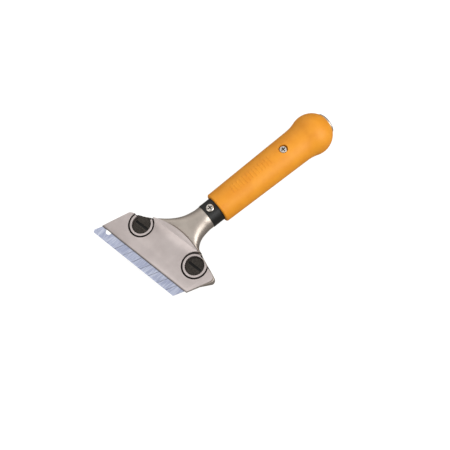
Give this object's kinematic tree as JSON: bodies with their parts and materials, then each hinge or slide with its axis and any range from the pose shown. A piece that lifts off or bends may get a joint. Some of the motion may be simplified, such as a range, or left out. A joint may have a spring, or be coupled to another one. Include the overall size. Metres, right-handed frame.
{
  "type": "floor scraper",
  "caption": "Hand floor scraper: a die-cast head clamps a snap-off blade sideways with coin-slot screws, on a round moulded grip with a ball end and a steel strike cap.",
  "frame": {"origin": "on the sole's flat face, below the point midway between the two clamp screws", "axes": "+Y along the handle towards the strike cap, +Z out of the side with the screw heads; the cutting edge is turned 12 degrees from +X"},
  "size_m": [0.1097, 0.2338, 0.04],
  "materials": {
    "cast_zinc": "satin zinc die casting",
    "cast_zinc_plate": "satin zinc die casting",
    "blade_steel": "ground, bluish",
    "blackened_steel": "black, semi-gloss",
    "plated_steel": "zinc plated",
    "black_tube": "black powder coat",
    "bright_screw": "nickel plated",
    "plug_plastic": "moulded",
    "grip_plastic": "moulded, satin",
    "cap_steel": "turned"
  },
  "bodies": {
    "handle": {"head_casting": "cast_zinc", "left_thread_insert": "plated_steel", "right_thread_insert": "plated_steel", "shaft_tube": "black_tube", "neck_screw": "bright_screw", "end_plug": "plug_plastic", "grip": "grip_plastic", "grip_screw": "bright_screw", "strike_cap": "cap_steel"},
    "plate": {"clamp_plate": "cast_zinc_plate", "left_screw_washer": "plated_steel", "right_screw_washer": "plated_steel"},
    "left_screw": {"left_clamp_screw": "blackened_steel", "left_retaining_ring": "plated_steel"},
    "right_screw": {"right_clamp_screw": "blackened_steel", "right_retaining_ring": "plated_steel"},
    "blade": {"blade": "blade_steel"}
  },
  "joints": [
    {"name": "plate_lift", "type": "slide", "parent": "handle", "child": "plate", "axis": [0, 0, 1], "range_m": [0, 0.003]},
    {"name": "left_screw_turn", "type": "hinge", "parent": "plate", "child": "left_screw", "pos_m": [-0.0313, -0.00665, 0.008], "axis": [0, 0, 1], "range_deg": [0, 1080]},
    {"name": "right_screw_turn", "type": "hinge", "parent": "plate", "child": "right_screw", "pos_m": [0.0313, 0.00665, 0.008], "axis": [0, 0, 1], "range_deg": [0, 1080]},
    {"name": "blade_slide", "type": "slide", "parent": "handle", "child": "blade", "axis": [0.2079, -0.9781, 0], "range_m": [0, 0.01]}
  ],
  "couplings": [
    {"joint": "left_screw_turn", "follows": "plate_lift", "rad_per_m": 6283.2},
    {"joint": "right_screw_turn", "follows": "plate_lift", "rad_per_m": 6283.2}
  ]
}
